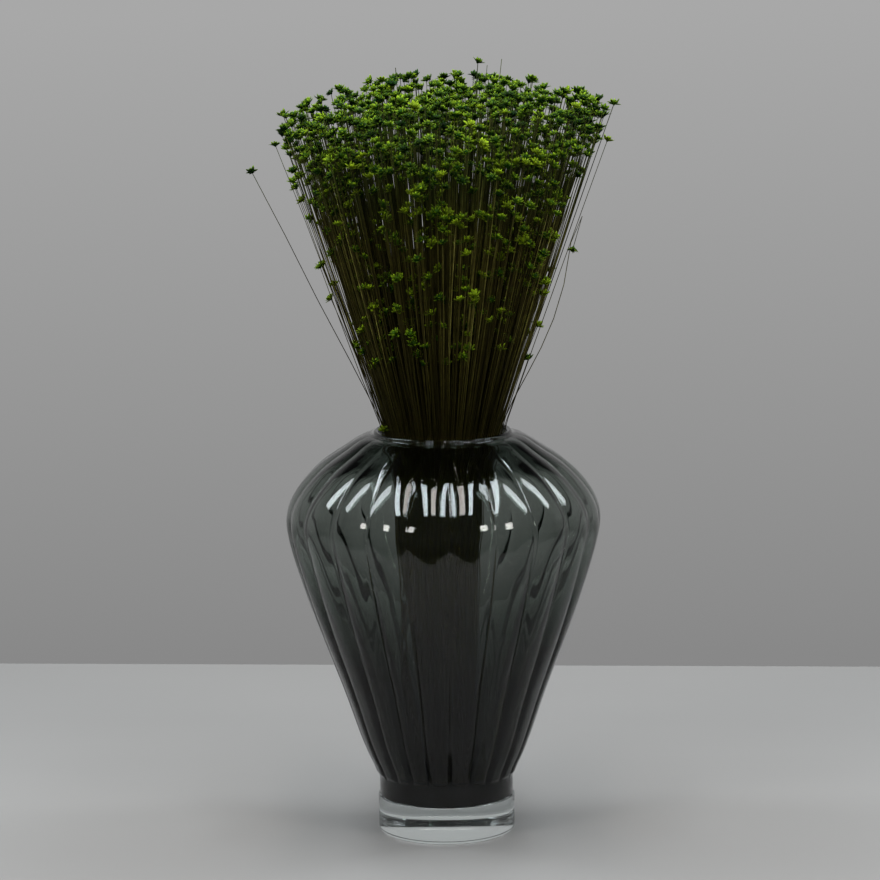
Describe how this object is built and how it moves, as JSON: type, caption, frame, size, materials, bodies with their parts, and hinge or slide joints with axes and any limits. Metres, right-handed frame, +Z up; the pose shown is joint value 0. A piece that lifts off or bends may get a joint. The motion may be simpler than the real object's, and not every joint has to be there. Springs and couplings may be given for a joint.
{
  "type": "dried glixia in vase",
  "caption": "Fan of dried glixia stems with small green star-shaped heads, standing in a ribbed smoke-grey glass vase with a clear glass foot.",
  "frame": {"origin": "centre of the underside of the vase's clear glass foot", "axes": "+X to the right as seen from the front, +Y away from the viewer, +Z up along the vase's axis"},
  "size_m": [0.2407, 0.2011, 0.4991],
  "materials": {
    "smoked_glass": "gloss",
    "clear_glass": "gloss",
    "dried_glixia": "matte",
    "glixia_head": "matte",
    "glixia_stem": "matte"
  },
  "bodies": {
    "root": {"vase_body": "smoked_glass", "vase_foot": "clear_glass", "glixia_tuft_01": "dried_glixia", "glixia_tuft_02": "dried_glixia", "glixia_tuft_03": "dried_glixia", "glixia_tuft_04": "dried_glixia", "glixia_tuft_05": "dried_glixia", "glixia_tuft_06": "dried_glixia", "glixia_tuft_07": "dried_glixia", "glixia_tuft_08": "dried_glixia", "glixia_tuft_09": "dried_glixia", "glixia_tuft_10": "dried_glixia", "glixia_tuft_11": "dried_glixia", "glixia_tuft_12": "dried_glixia", "glixia_tuft_13": "dried_glixia", "glixia_tuft_14": "dried_glixia", "glixia_tuft_15": "dried_glixia", "glixia_tuft_16": "dried_glixia", "glixia_tuft_17": "dried_glixia", "glixia_tuft_18": "dried_glixia", "glixia_tuft_19": "dried_glixia"}
  },
  "joints": []
}
